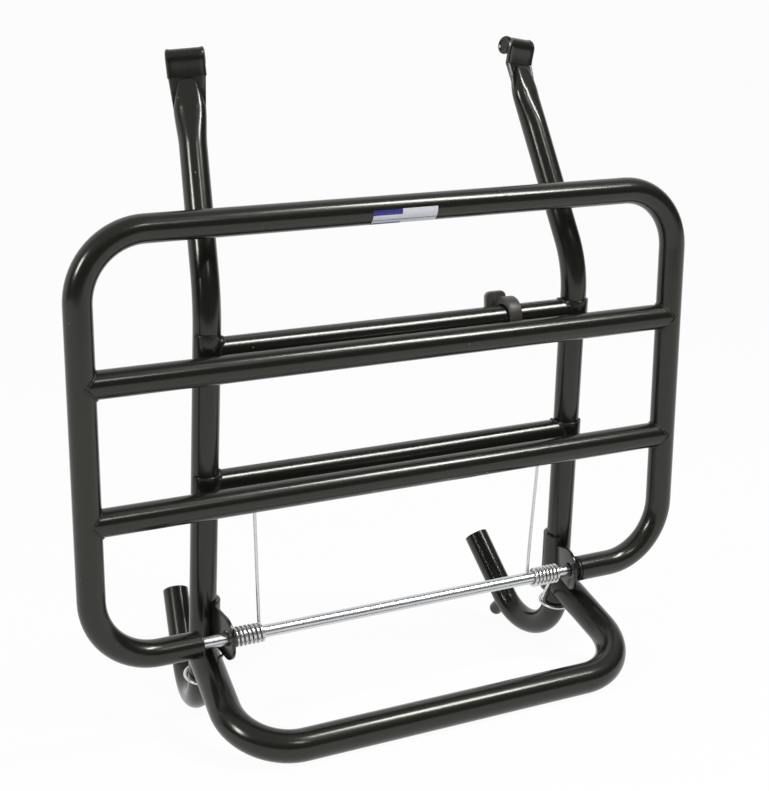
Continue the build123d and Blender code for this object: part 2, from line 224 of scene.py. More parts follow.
brightRod = {
    "light": (0.78, 0.79, 0.80, 1),
    "dark": (0.50, 0.51, 0.53, 1),
    "drawn": (25.0, 700.0, 700.0),  # lines along the rod
    "roughness": 0.2,
    "roughnessSpread": 0.14,
}
brightWire = {
    "light": (0.80, 0.80, 0.79, 1),
    "dark": (0.55, 0.55, 0.55, 1),
    "drawn": (320.0, 320.0, 320.0),  # an even fine grain
    "roughness": 0.22,
    "roughnessSpread": 0.14,
}


def makeBrightZinc(name, look):  # plated steel with drawn lines or a fine grain
    material, sheet = newMaterial(name)
    place = sheet.add("ShaderNodeTexCoord")["Object"]
    mapInputs = {"Vector": place, "Scale": look["drawn"]}
    drawn = sheet.add("ShaderNodeMapping", None, mapInputs)["Vector"]
    grain = sheet.noise(drawn, scale=1.0, detail=3.0)
    finishMaterial(sheet, {
        "Base Color": sheet.mix(grain, look["dark"], look["light"]),
        "Metallic": 1.0,
        "Roughness": look["roughness"] + look["roughnessSpread"] * grain,
    })
    return material


bufferRubber = {
    "light": (0.085, 0.078, 0.066, 1),
    "dark": (0.022, 0.021, 0.018, 1),
    "bloom": (0.40, 0.355, 0.31, 1),  # painted light: the tab behind the bar is painted paler, as if lit
    "bloomFrom": (-0.0185, -0.0160),
    "bloomShare": 0.85,
    "grain": 420.0,
    "cloud": 52.5,
    "skinHeight": 0.0001,
    "skinStrength": 0.5,
    "roughness": 0.42,
    "roughnessSpread": 0.25,
}
bushPlastic = {
    "light": (0.020, 0.020, 0.019, 1),
    "dark": (0.009, 0.009, 0.009, 1),
    "bloom": (0.050, 0.050, 0.047, 1),  # a trace on the rear half
    "bloomFrom": (-0.0300, -0.0200),
    "bloomShare": 0.15,
    "grain": 900.0,
    "cloud": 112.5,
    "skinHeight": 0.0001,
    "skinStrength": 0.5,
    "roughness": 0.3,
    "roughnessSpread": 0.25,
}


def makeMoulding(name, look):  # rubber or plastic with a mottled moulded skin
    material, sheet = newMaterial(name)
    place = sheet.add("ShaderNodeTexCoord")["Object"]
    grain = sheet.noise(place, look["grain"], detail=4.0)
    cloud = sheet.noise(place, look["cloud"], detail=2.0)
    # paler towards the rear; on the rubber buffer this is painted light on the tab
    behind = sheet.add("ShaderNodeSeparateXYZ", None, {"Vector": place})["Y"]
    pale = sheet.climb(behind, *look["bloomFrom"], "LINEAR")
    bloom = pale * (look["bloomShare"] * (0.5 + cloud))
    skin = sheet.mix(0.5 * (grain + cloud), look["dark"], look["light"])
    finishMaterial(sheet, {
        "Base Color": sheet.mix(bloom, skin, look["bloom"]),
        "Roughness": look["roughness"] + look["roughnessSpread"] * (cloud - 0.5),
        "Normal": sheet.bump(grain, look["skinHeight"], look["skinStrength"]),
    })
    return material


stickerFoil = {  # plain fields of colour, metres in the shared frame
    "blue": (0.030, 0.030, 0.21, 1),
    "pale": (0.66, 0.67, 0.72, 1),
    "line": (0.26, 0.27, 0.32, 1),
    "blueBelow": 0.3350,
    "boundary": -0.0042,
    "blueFrom": 0.3398,
    "lineAt": 0.3366,
    "lineHalf": 0.0003,
    "grain": 900.0,
    "roughness": 0.28,
    "roughnessSpread": 0.1,
}


def makeSticker(look):
    material, sheet = newMaterial("stickerFoil")
    place = sheet.add("ShaderNodeTexCoord")["Object"]
    part = sheet.add("ShaderNodeSeparateXYZ", None, {"Vector": place})
    grain = sheet.noise(place, look["grain"], detail=2.0)
    onLeft = part["X"] < look["boundary"]
    blue = onLeft * ((part["Z"] > look["blueFrom"]) + (part["Z"] < look["blueBelow"]))
    below = part["Z"] < look["lineAt"] + look["lineHalf"]
    line = below * (part["Z"] > look["lineAt"] - look["lineHalf"])
    ground = sheet.mix(line, look["pale"], look["line"])
    finishMaterial(sheet, {
        "Base Color": sheet.mix(blue, ground, look["blue"]),
        "Roughness": look["roughness"] + look["roughnessSpread"] * (grain - 0.5),
    })
    return material


finishes = {
    "black_paint": makeBlackPaint(blackPaint),
    "bush_plastic": makeMoulding("bushPlastic", bushPlastic),
    "bright_rod": makeBrightZinc("brightRod", brightRod),
    "bright_wire": makeBrightZinc("brightWire", brightWire),
    "rubber": makeMoulding("bufferRubber", bufferRubber),
    "sticker": makeSticker(stickerFoil),
}
slotOf = {}
for subpart in frame["record"]["subparts"]:
    node, slot = subpart["node"], subpart["material_slot"]
    slotOf[node] = slot
    nodes[node].data.materials.clear()
    nodes[node].data.materials.append(finishes[slot])
print("materials made")


def placePiece(name, mesh, body, slot, *replaced):
    piece = linked(name, mesh)
    if not mesh.materials:
        mesh.materials.append(finishes[slot])
    if body:
        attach(piece, body)
    if replaced:
        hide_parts(*replaced)
    return piece


def smoothMesh(mesh, angle):
    mesh.polygons.foreach_set("use_smooth", [True] * len(mesh.polygons))
    mesh.set_sharp_from_angle(angle=radians(angle))


def meshFrom(shape, name):  # ends the work on a bmesh
    mesh = bpy.data.meshes.new(name)
    shape.to_mesh(mesh)
    shape.free()
    return mesh


def meshOf(draft):  # a draft object's mesh, with its modifiers worked in
    graph = bpy.context.evaluated_depsgraph_get()
    return bpy.data.meshes.new_from_object(draft.evaluated_get(graph))


def addPath(curve, points, closed):
    spline = curve.splines.new("POLY")
    spline.points.add(len(points) - 1)
    for corner, place in zip(spline.points, points):
        corner.co = (*place, 1)
    spline.use_cyclic_u = closed


def circleTurns(count):
    return [tau * index / count for index in range(count)]


def squareTo(way, guide):  # the part of a guide that is square to a way
    return (guide - way * guide.dot(way)).normalized()


def along(start, angle, length):
    turn = radians(angle)
    return (start[0] + length * sin(turn), start[1] + length * cos(turn))


def around(centre, radius, angle):
    turn = radians(angle)
    return (centre[0] + radius * cos(turn), centre[1] + radius * sin(turn))


def mixed(a, b, share):
    return a + (b - a) * share


def eased(value, low, high):
    share = min(max((value - low) / (high - low), 0.0), 1.0)
    return share * share * (3 - 2 * share)


postShape = {  # metres and degrees, in the plane of the right post
    "frameX": 0.0094,
    "halfSpan": 0.1406,
    "behindHinge": 0.0312,
    "toeIn": 0.1621,  # slopes of the plane
    "leanIn": 0.0383,
    "postLean": 7.2,
    "neckLean": 21.4,
    "limbLean": 37.4,
    "hookRadius": 0.0332,
    "hookDrop": 0.032,
    "limbLength": 0.0533,
    "bendRise": 0.223,
    "bendRadius": 0.08,
    "neckLength": 0.147,
    "tubeRadius": 0.009,
    "boreRadius": 0.0075,
    "boreDepth": 0.03,
    "rim": 0.0003,
    "limbSteps": 9,
    "hookSteps": 44,
    "postSteps": 20,
    "bendSteps": 16,
    "neckSteps": 8,
    "smoothAngle": 32,
}

headShape = {  # the flattened, creased and rolled end of a post, metres and degrees
    "flareFrom": -0.046,  # heights from the foot of the strap
    "tiltFrom": -0.040,
    "shiftFrom": -0.026,
    "creaseFrom": -0.020,
    "footHalf": 0.0104,
    "tipHalf": 0.0120,
    "strapHalf": 0.0126,
    "strapThick": 0.0024,
    "edgeBead": 0.0016,
    "beadRoom": 2.6,  # the wing is at least this many beads wide
    "beadPath": ((0.0, 0.0), (0.3, 0.72), (0.9, 1.0), (1.6, 0.85)),  # in and up, in beads
    "wingFrom": 2.1,
    "tongueFoot": 0.0070,
    "tongueTip": (0.0050, 0.0032),
    "tipRound": 0.0045,
    "tipNarrow": 0.35,
    "tongueSquare": (2.2, 4.5),  # from its foot to its tip
    "edgeAngle": 24.0,
    "wingSteps": 7,
    "tongueSteps": 8,
    "flareSteps": 18,
    "creaseSteps": 24,
    "strapPath": ((0.0, 0.0005), (-0.0003, 0.004), (-0.0008, 0.0075), (-0.0013, 0.0105)),
    "rollCentre": (0.0036, 0.0122),
    "rollRadius": 0.0051,
    "rollTurns": ((0, 1.0), (225, 1.0), (336, 0.62)),
    "rollStep": 12,
    "coreRadius": 0.0043,
    "coreHalf": 0.0119,
    "coreCuts": ((-1.0, 0.9), (-0.96, 1.0), (0.96, 1.0), (1.0, 0.9)),
    "coreSides": 40,
}
headTurns = {  # turn about the neck, tilt of the strap and shift of its foot, as photographed
    "left_upright": {"turn": 15.0, "tilt": 0.0, "shift": (0.0, 0.0)},
    "right_upright": {"turn": 6.0, "tilt": 8.0, "shift": (0.0020, 0.0006)},
}


class PostPlane:  # the skewed plane that the right post lies in
    def __init__(self, look):
        across = look["frameX"] + look["halfSpan"]
        self.origin = Vector((across, hinge.y + look["behindHinge"], hinge.z))
        self.out = Vector((1, look["toeIn"], look["leanIn"])).normalized()
        self.back = Vector((-look["toeIn"], 1, 0)).normalized()
        self.up = self.out.cross(self.back)

    def point(self, flat):
        return self.origin + self.back * flat[0] + self.up * flat[1]

    def way(self, angle):
        return self.back * sin(radians(angle)) + self.up * cos(radians(angle))

    def normal(self, angle):
        return self.back * cos(radians(angle)) - self.up * sin(radians(angle))


postPlane = PostPlane(postShape)


def postLine(side, height):  # place and way of the left (-1) or right (1) post at a height
    middle, lean = postShape["frameX"], -postShape["postLean"]
    place, way = postPlane.point(along((0, 0), lean, height)), postPlane.way(lean)
    place.x = middle + side * (place.x - middle)
    way.x *= side
    return place, way


def quarterCircle(radius, head, edge):
    steps = []
    for index in range(head["wingSteps"]):
        steps.append(edge * index / head["wingSteps"])
    for index in range(head["tongueSteps"] + 1):
        steps.append(edge + (90 - edge) * index / head["tongueSteps"])
    return [(radius * cos(radians(angle)), radius * sin(radians(angle))) for angle in steps]


def quarterFlat(half, crease, rise, square, head):  # rounded edge, flat wing, tongue on it
    bead = min(head["edgeBead"], (half - crease) / head["beadRoom"])
    thick = min(head["strapThick"] / 2, bead)
    steps = [(half - inward * bead, up * bead) for inward, up in head["beadPath"]]
    wingStart = half - head["wingFrom"] * bead
    flatSteps = head["wingSteps"] - len(steps)
    for index in range(flatSteps):
        steps.append((mixed(wingStart, crease, index / flatSteps), thick))
    power = 2 / square
    for index in range(head["tongueSteps"] + 1):
        turn = pi / 2 * index / head["tongueSteps"]
        across = crease * max(cos(turn), 0) ** power
        steps.append((across, thick + (rise - thick) * sin(turn) ** power))
    return steps


def wholeLoop(quarter):
    last = len(quarter) - 1
    quarters = ((1, 1, False), (-1, 1, True), (-1, -1, False), (1, -1, True))
    loop = []
    for acrossSign, backSign, backwards in quarters:
        for index in range(last):
            across, back = quarter[last - index if backwards else index]
            loop.append((acrossSign * across, backSign * back))
    return loop


def postStations(look):  # limb, hook, post and bend: place, angle of travel, radius
    hookStart = along((0, 0), -look["postLean"], -look["hookDrop"])
    hookCentre = around(hookStart, look["hookRadius"], look["postLean"])
    hookEnd = around(hookCentre, look["hookRadius"], -look["limbLean"])
    limbEnd = along(hookEnd, look["limbLean"], look["limbLength"])
    corner = along((0, 0), -look["postLean"], look["bendRise"])
    run = look["bendRadius"] * tan(radians((look["postLean"] + look["neckLean"]) / 2))
    bendStart = along(corner, -look["postLean"], -run)
    bendCentre = around(bendStart, look["bendRadius"], look["postLean"])
    strapFoot = along(corner, look["neckLean"], look["neckLength"])
    limbAngle = 180 + look["limbLean"]
    bore, outer, rim = look["boreRadius"], look["tubeRadius"], look["rim"]
    stations = []
    mouth = [(look["boreDepth"], bore), (rim, bore), (0, bore + rim)]
    mouth += [(0, outer - rim), (rim, outer)]
    for depth, radius in mouth:
        stations.append((along(limbEnd, limbAngle, depth), limbAngle, radius))
    for index in range(1, look["limbSteps"]):
        gone = look["limbLength"] * index / look["limbSteps"]
        stations.append((along(limbEnd, limbAngle, gone), limbAngle, outer))
    for index in range(look["hookSteps"] + 1):
        turn = mixed(-look["limbLean"], look["postLean"] - 180, index / look["hookSteps"])
        stations.append((around(hookCentre, look["hookRadius"], turn), 180 - turn, outer))
    for index in range(1, look["postSteps"]):
        share = index / look["postSteps"]
        place = [mixed(start, end, share) for start, end in zip(hookStart, bendStart)]
        stations.append((place, 360 - look["postLean"], outer))
    for index in range(look["bendSteps"] + 1):
        share = index / look["bendSteps"]
        turn = mixed(180 + look["postLean"], 180 - look["neckLean"], share)
        stations.append((around(bendCentre, look["bendRadius"], turn), 540 - turn, outer))
    return stations, strapFoot, look["neckLength"] - run


def headSection(rise, post, head):  # cut across the head at a height from the strap's foot
    half, tall = head["footHalf"], head["tongueFoot"]
    if rise < head["creaseFrom"]:  # a tube that is pressed oval
        flat = eased(rise, head["flareFrom"], head["creaseFrom"])
        half = mixed(post["tubeRadius"], half, flat)
        tall = mixed(post["tubeRadius"], tall, flat)
        power = 2 / mixed(2.0, head["tongueSquare"][0], flat)
        oval = []
        for across, back in quarterCircle(1.0, head, mixed(head["edgeAngle"], 1.0, flat)):
            oval.append((max(across, 0) ** power * half, back**power * tall))
        return oval
    share = (rise - head["creaseFrom"]) / -head["creaseFrom"]
    crease = mixed(half, head["tongueTip"][0], share)
    tall = mixed(tall, head["tongueTip"][1], share)
    half = mixed(half, head["tipHalf"], share)
    if rise > -head["tipRound"]:
        fall = sqrt(max(0.0, 1 - ((rise + head["tipRound"]) / head["tipRound"]) ** 2))
        tall = mixed(head["strapThick"] / 2, tall, fall)
        crease *= mixed(head["tipNarrow"], 1.0, fall)
    return quarterFlat(half, crease, tall, mixed(*head["tongueSquare"], share), head)


def strapStations(head):  # up the strap and round the roll to its core: place, angle of travel
    stations = []
    path = head["strapPath"]
    for index, place in enumerate(path):
        before = path[max(index - 1, 0)]
        after = path[min(index + 1, len(path) - 1)]
        slope = (after[0] - before[0]) / (after[1] - before[1])
        stations.append((place, degrees(slope)))  # so small that it serves as the angle
    turns = head["rollTurns"]
    middleBack, middleUp = head["rollCentre"]
    for angle in range(0, turns[-1][0] + 1, head["rollStep"]):
        for (low, lowShare), (high, highShare) in zip(turns, turns[1:]):
            if low <= angle <= high:
                share = mixed(lowShare, highShare, (angle - low) / (high - low))
        radius, turn = head["rollRadius"] * share, radians(angle)
        place = (middleBack - radius * cos(turn), middleUp + radius * sin(turn))
        stations.append((place, angle))
    return stations


def addShell(shape, rings, mirrorSum):  # skins the rings and closes both ends
    loops = []
    for ring in rings:
        loop = []
        for corner in ring:
            x = corner.x if mirrorSum is None else mirrorSum - corner.x
            loop.append(shape.verts.new((x, corner.y, corner.z)))
        loops.append(loop)
    for low, high in zip(loops, loops[1:]):
        for index in range(len(low)):
            after = (index + 1) % len(low)
            shape.faces.new((low[index], low[after], high[after], high[index]))
    shape.faces.new(loops[0])
    shape.faces.new(loops[-1])


def tubeRings(stations, head):
    rings = []
    for place, angle, radius in stations:
        centre, normal = postPlane.point(place), postPlane.normal(angle)
        loop = wholeLoop(quarterCircle(radius, head, head["edgeAngle"]))
        rings.append([centre + postPlane.out * a + normal * b for a, b in loop])
    return rings


def neckRings(foot, neckWay, neckRun, own, post, head):  # the neck flares, turns and creases
    flare, crease = head["flareFrom"], head["creaseFrom"]
    spans = [(-neckRun, flare, post["neckSteps"]), (flare, crease, head["flareSteps"])]
    spans += [(crease, 0.0, head["creaseSteps"])]
    rises = []
    for low, high, steps in spans:
        rises += [mixed(low, high, index / steps) for index in range(steps)]
    rings = []
    for rise in rises[1:] + [0.0]:  # the bend has the first one already
        turn = own["turn"] * eased(rise, -neckRun, flare)
        across = Matrix.Rotation(radians(turn), 3, neckWay) @ postPlane.out
        back = neckWay.cross(across)
        lower = radians(own["tilt"]) * eased(rise, head["tiltFrom"], 0.0)
        moved = across * own["shift"][0] + neckWay * own["shift"][1]
        moved *= eased(rise, head["shiftFrom"], 0.0)
        across = across * cos(lower) - neckWay * sin(lower)
        loop = wholeLoop(headSection(rise, post, head))
        centre = foot + moved + neckWay * rise
        rings.append([centre + across * a + back * b for a, b in loop])
    return rings


def strapRings(foot, across, strapBack, strapUp, head):
    half, crease = head["strapHalf"], head["tongueTip"][0]
    thick, square = head["strapThick"] / 2, head["tongueSquare"][1]
    loop = wholeLoop(quarterFlat(half, crease, thick, square, head))
    rings = []
    for place, angle in strapStations(head):
        back = strapBack * cos(radians(angle)) - strapUp * sin(radians(angle))
        centre = foot + strapBack * place[0] + strapUp * place[1]
        rings.append([centre + across * a + back * b for a, b in loop])
    return rings


def coreRings(core, across, strapBack, strapUp, head):  # the filled inside of the roll
    rings = []
    for reach, share in head["coreCuts"]:
        middle = core + across * head["coreHalf"] * reach
        size = head["coreRadius"] * share
        ring = []
        for turn in circleTurns(head["coreSides"]):
            ring.append(middle + strapBack * size * cos(turn) + strapUp * size * sin(turn))
        rings.append(ring)
    return rings


def makeUpright(name, node, mirrored, post, head):
    own = headTurns[node]
    stations, strapFoot, neckRun = postStations(post)
    neckWay = postPlane.way(post["neckLean"])
    foot = postPlane.point(strapFoot)
    rings = tubeRings(stations, head)
    rings += neckRings(foot, neckWay, neckRun, own, post, head)
    across = Matrix.Rotation(radians(own["turn"]), 3, neckWay) @ postPlane.out
    neckBack = neckWay.cross(across)
    foot += across * own["shift"][0] + neckWay * own["shift"][1]
    lean, tilt = radians(post["neckLean"]), radians(own["tilt"])
    strapBack = neckBack * cos(lean) + neckWay * sin(lean)
    level = neckWay * cos(lean) - neckBack * sin(lean)
    strapUp = level * cos(tilt) + across * sin(tilt)
    across = across * cos(tilt) - level * sin(tilt)
    rings += strapRings(foot, across, strapBack, strapUp, head)
    core = foot + strapBack * head["rollCentre"][0] + strapUp * head["rollCentre"][1]
    shape = bmesh.new()
    for shell in (rings, coreRings(core, across, strapBack, strapUp, head)):
        addShell(shape, shell, 2 * post["frameX"] if mirrored else None)
    bmesh.ops.recalc_face_normals(shape, faces=shape.faces)
    mesh = meshFrom(shape, name)
    smoothMesh(mesh, post["smoothAngle"])
    placePiece(name, mesh, "frame", "black_paint", node)


makeUpright("leftPost", "left_upright", True, postShape, headShape)
makeUpright("rightPost", "right_upright", False, postShape, headShape)
print("posts made")


rodShape = {"radius": 0.00425, "rings": 60, "sides": 64, "bevel": 0.0006, "smoothAngle": 30}


def makeRod(look):  # plain drawn rod through both ears into both bushes
    low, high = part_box("hinge_rod")
    bevel, radius = look["bevel"], look["radius"]
    cuts = [(low[0], radius - bevel)]
    for index in range(look["rings"] + 1):
        x = mixed(low[0] + bevel, high[0] - bevel, index / look["rings"])
        cuts.append((x, radius))
    cuts.append((high[0], radius - bevel))
    rings = []
    for x, size in cuts:
        ring = []
        for turn in circleTurns(look["sides"]):
            ring.append(Vector((x, hinge.y + size * cos(turn), hinge.z + size * sin(turn))))
        rings.append(ring)
    shape = bmesh.new()
    addShell(shape, rings, None)
    bmesh.ops.recalc_face_normals(shape, faces=shape.faces)
    mesh = meshFrom(shape, "hingeRod")
    smoothMesh(mesh, look["smoothAngle"])
    placePiece("hingeRod", mesh, "flap", "bright_rod", "hinge_rod")


makeRod(rodShape)
print("rod made")

frameBars = {  # metres; heights are along the posts from the hinge
    "heights": {"upper_frame_bar": 0.1905, "lower_frame_bar": 0.1004},
    "bar": 0.009,
    "saddle": 0.01062,
}
saddleShape = {  # metres; the shells round the posts at the ends of the frame bars
    "inside": 0.0085,
    "outside": 0.0112,
    "reach": 0.02,
    "wrap": 0.72,  # what is kept of the wrap outside the post
    "rim": 0.0085,
    "rimFall": (-0.007, -0.002),  # the rim runs down to the bar on the inner side
    "leftRaise": {"upper_frame_bar": 0.0046, "lower_frame_bar": 0.0},
}
edgeRounds = {  # node: new piece, width of the round on its edges in metres, segments
    "upper_frame_bar": ("upperFrameBar", 0.0007, 3),
    "lower_frame_bar": ("lowerFrameBar", 0.0007, 3),
    "left_end_bush": ("leftBush", 0.0004, 2),
    "right_end_bush": ("rightBush", 0.0004, 2),
    "rubber_buffer": ("rubberBuffer", 0.0009, 3),
}
edgeFinish = {"merge": 0.000002, "flatAngle": 0.4, "roundAngle": 50, "smoothAngle": 40}


def fitSaddles(shape, node, look):  # shorter wrap outside each post, taller rim on the left one
    for side in (-1, 1):
        centre, way = postLine(side, frameBars["heights"][node])
        outer = squareTo(way, Vector((side, 0, 0)))
        front = way.cross(outer) if way.cross(outer).y < 0 else outer.cross(way)
        for corner in shape.verts:
            rest = corner.co - centre
            level = rest.dot(way)
            flat = rest - way * level
            inShell = look["inside"] <= flat.length <= look["outside"]
            if not inShell or abs(level) > look["reach"]:
                continue
            if flat.dot(outer) > 0:
                turn = atan2(flat.dot(outer), flat.dot(front)) * look["wrap"]
                ray = front * cos(turn) + outer * sin(turn)
                corner.co = centre + way * level + ray * flat.length
            if level > look["rim"] and side < 0:
                share = eased(flat.dot(outer), *look["rimFall"])
                corner.co += way * look["leftRaise"][node] * share


def roundEdges(node, name, width, segments, look):
    shape = bmesh.new()
    shape.from_mesh(nodes[node].data)
    bmesh.ops.remove_doubles(shape, verts=shape.verts, dist=look["merge"])
    if node in frameBars["heights"]:
        fitSaddles(shape, node, saddleShape)
    limit = radians(look["flatAngle"])
    bmesh.ops.dissolve_limit(shape, angle_limit=limit, verts=shape.verts, edges=shape.edges)
    mesh = meshFrom(shape, name + "Raw")
    draft = linked(name + "Raw", mesh)
    rounding = draft.modifiers.new("edges", "BEVEL")
    rounding.width = width
    rounding.segments = segments
    rounding.limit_method = "ANGLE"
    rounding.angle_limit = radians(look["roundAngle"])
    rounding.use_clamp_overlap = False
    finished = meshOf(draft)
    finished.name = name
    bpy.data.objects.remove(draft)
    bpy.data.meshes.remove(mesh)
    smoothMesh(finished, look["smoothAngle"])
    finished.materials.clear()
    bodies = frame["record"]["behaviour"]["bodies"]
    body = next(bodyName for bodyName, held in bodies.items() if node in held)
    placePiece(name, finished, body, slotOf[node], node)


for node, (name, width, segments) in edgeRounds.items():
    roundEdges(node, name, width, segments, edgeFinish)
print("edges rounded")


bracketShape = {  # metres and degrees; the ears stand at slightly different places and angles
    "inside": 0.00902,
    "outside": 0.01152,
    "frontAngle": -66.4,
    "rearAngle": 82.5,
    "low": -0.025,
    "high": 0.020,
    "plate": 0.0025,
    "edge": 0.0005,
    "earTop": (0.0035, 0.0015, 0.0130),  # behind the hinge, above it, radius
    "earFoot": (0.0, -0.0048, 0.0095),
    "rootBottom": -0.009,
    "holeRadius": 0.005,
    "holeSag": 0.0004,
    "wrapSteps": 40,
    "noseSteps": 24,
    "holeSides": 40,
    "edgeSteps": 2,
    "merge": 0.000005,
    "smoothAngle": 35,
}
bracketSides = {
    "left_hinge_bracket": {
        "name": "leftBracket",
        "side": -1,
        "earX": -0.1257,
        "turn": -4.0,
        "root": (0.0225, 0.0185),  # top of the ear at the post
    },
    "right_hinge_bracket": {
        "name": "rightBracket",
        "side": 1,
        "earX": 0.1403,
        "turn": 8.0,
        "root": (0.0230, 0.0125),
    },
}


def tangentFrom(point, arc, side):  # angle at which a line from a point touches a circle
    reach = Vector((point[0] - arc[0], point[1] - arc[1]))
    return atan2(reach.y, reach.x) + side * acos(arc[2] / reach.length)


def earOutline(look, root):  # round nose, straight flanks to the root at the post
    bottom = (root[0], look["rootBottom"])
    first = tangentFrom(root, look["earTop"], 1)
    last = tangentFrom(bottom, look["earFoot"], -1) + tau
    outline = [bottom, root]
    for arc, start, end in ((look["earTop"], first, pi), (look["earFoot"], pi, last)):
        behind, above, radius = arc
        for index in range(look["noseSteps"] + 1):
            turn = mixed(start, end, index / look["noseSteps"])
            outline.append((behind + radius * cos(turn), above + radius * sin(turn)))
    return outline


def addPlate(shape, look, outline, place):  # flat plate with a hole and rounded edges
    curve = bpy.data.curves.new("earOutline", "CURVE")
    curve.dimensions = "2D"
    curve.fill_mode = "BOTH"
    curve.extrude = look["plate"] / 2 - look["edge"]
    curve.bevel_depth = look["edge"]
    curve.bevel_resolution = look["edgeSteps"]
    curve.offset = -look["edge"]
    hole = []
    for turn in circleTurns(look["holeSides"]):
        up = look["holeSag"] + look["holeRadius"] * sin(turn)
        hole.append((look["holeRadius"] * cos(turn), up))
    for line in (outline, hole):
        addPath(curve, [(x, y, 0) for x, y in line], True)
    draft = linked("earOutline", curve)
    mesh = meshOf(draft)
    mesh.transform(place)
    plate = bmesh.new()
    plate.from_mesh(mesh)
    bmesh.ops.remove_doubles(plate, verts=plate.verts, dist=look["merge"])
    bmesh.ops.recalc_face_normals(plate, faces=plate.faces)
    plate.to_mesh(mesh)
    plate.free()
    shape.from_mesh(mesh)
    bpy.data.objects.remove(draft)
    bpy.data.curves.remove(curve)
    bpy.data.meshes.remove(mesh)


def wrapRings(look, side):  # round the post, from the front edge to the rear edge
    centre, way = postLine(side, 0)
    inner = squareTo(way, Vector((-side, 0, 0)))
    rear = inner.cross(way) if inner.cross(way).y > 0 else way.cross(inner)
    edge, steps = look["edge"], look["wrapSteps"]
    rings = []
    for index in range(steps + 1):
        inset = edge if index in (0, steps) else 0.0
        turn = radians(mixed(look["frontAngle"], look["rearAngle"], index / steps))
        ray = inner * cos(turn) + rear * sin(turn)
        low, high = look["low"] + inset, look["high"] - inset
        inside, outside = look["inside"], look["outside"] - inset
        cut = [(inside, low), (outside - edge, low), (outside, low + edge)]
        cut += [(outside, high - edge), (outside - edge, high), (inside, high)]
        rings.append([centre + ray * radius + way * level for radius, level in cut])
    return rings


def makeBracket(node, own, look):
    shape = bmesh.new()
    addShell(shape, wrapRings(look, own["side"]), None)
    bmesh.ops.recalc_face_normals(shape, faces=shape.faces)
    turn = radians(own["turn"])
    across = Vector((sin(turn), cos(turn), 0))
    normal = across.cross(Vector((0, 0, 1)))
    place = Matrix((across, (0, 0, 1), normal)).transposed().to_4x4()
    place.translation = Vector((own["earX"], hinge.y, hinge.z))
    addPlate(shape, look, earOutline(look, own["root"]), place)
    mesh = meshFrom(shape, own["name"])
    smoothMesh(mesh, look["smoothAngle"])
    placePiece(own["name"], mesh, "frame", "black_paint", node)


for node, own in bracketSides.items():
    makeBracket(node, own, bracketShape)
print("brackets made")


def makeWireTree():  # a round wire or a rippled weld bead along each path it is given
    tree = bpy.data.node_groups.new("wireAlongPath", "GeometryNodeTree")
    sockets = [("Paths", "Geometry"), ("Wire Radius", "Float"), ("Ripple", "Float")]
    sockets += [("Ripple Pitch", "Float"), ("Sides", "Int"), ("Finish", "Material")]
    for name, kind in sockets:
        tree.interface.new_socket(name=name, in_out="INPUT", socket_type="NodeSocket" + kind)
    tree.interface.new_socket(name="Wire", in_out="OUTPUT", socket_type="NodeSocketGeometry")
    sheet = Sheet(tree)
    given = sheet.add("NodeGroupInput")
    gone = sheet.add("GeometryNodeSplineParameter")["Length"]
    turn = gone / given["Ripple Pitch"] * tau
    wave = sheet.add("ShaderNodeMath", {"operation": "SINE"}, {0: turn})["Value"]
    ringInputs = {"Resolution": given["Sides"], "Radius": 1.0}
    ring = sheet.add("GeometryNodeCurvePrimitiveCircle", None, ringInputs)
    wire = sheet.add("GeometryNodeCurveToMesh", None, {
        "Curve": given["Paths"],
        "Profile Curve": ring["Curve"],
        "Scale": given["Wire Radius"] + given["Ripple"] * wave,
        "Fill Caps": True,
    })
    smooth = sheet.add("GeometryNodeSetShadeSmooth", None, {"Geometry": wire["Mesh"]})
    real = sheet.add("GeometryNodeRealizeInstances", None, {"Geometry": smooth["Geometry"]})
    finishInputs = {"Geometry": real["Geometry"], "Material": given["Finish"]}
    done = sheet.add("GeometryNodeSetMaterial", None, finishInputs)
    sheet.add("NodeGroupOutput", None, {"Wire": done["Geometry"]})
    return tree


wireTree = makeWireTree()


def makeWire(name, paths, look, finish):
    curve = bpy.data.curves.new(name + "Path", "CURVE")
    curve.dimensions = "3D"
    for points, closed in paths:
        addPath(curve, points, closed)
    draft = linked(name + "Path", curve)
    sweep = draft.modifiers.new("wire", "NODES")
    sweep.node_group = wireTree
    chosen = {
        "Wire Radius": look["radius"],
        "Ripple": look["ripple"],
        "Ripple Pitch": look["ripplePitch"],
        "Sides": look["sides"],
        "Finish": finish,
    }
    for item in wireTree.interface.items_tree:
        if item.in_out == "INPUT" and item.name in chosen:
            sweep[item.identifier] = chosen[item.name]
    mesh = meshOf(draft)
    mesh.name = name
    draft.modifiers.remove(sweep)
    bpy.data.objects.remove(draft)
    bpy.data.curves.remove(curve)
    return mesh


springShape = {  # metres and degrees; both springs wind the same way seen from their own side
    "radius": 0.0011,
    "ripple": 0.0,
    "ripplePitch": 0.01,
    "sides": 14,
    "outerX": {-1: -0.12215, 1: 0.12825},  # left and right
    "coilRadius": 0.00575,
    "pitch": 0.003,
    "turns": 7,
    "stepsPerTurn": 36,
    "legTop": (0.0033, -0.003504, 0.082873),  # outwards from the coil, then from the hinge
    "legPull": 0.03,  # how far a bend holds its way
    "legSteps": 24,
    "ringCentre": (0.14117, 0.036116, -0.035707),  # from the middle of the frame and the hinge
    "ringRadius": 0.0113,
    "ringWay": (0.003, 0.248, -0.969),
    "ringSweep": 330,
    "ringSteps": 48,
    "knees": {-1: (0.0015, -0.009, 0.010), 1: (-0.0045, -0.009, 0.010)},  # left and right
    "dropPull": 0.022,
    "kneePull": 0.5,
    "ringPull": 0.016,
    "dropSteps": 20,
    "twistShare": 0.75,  # share of the coil, from its last turn towards its first
}


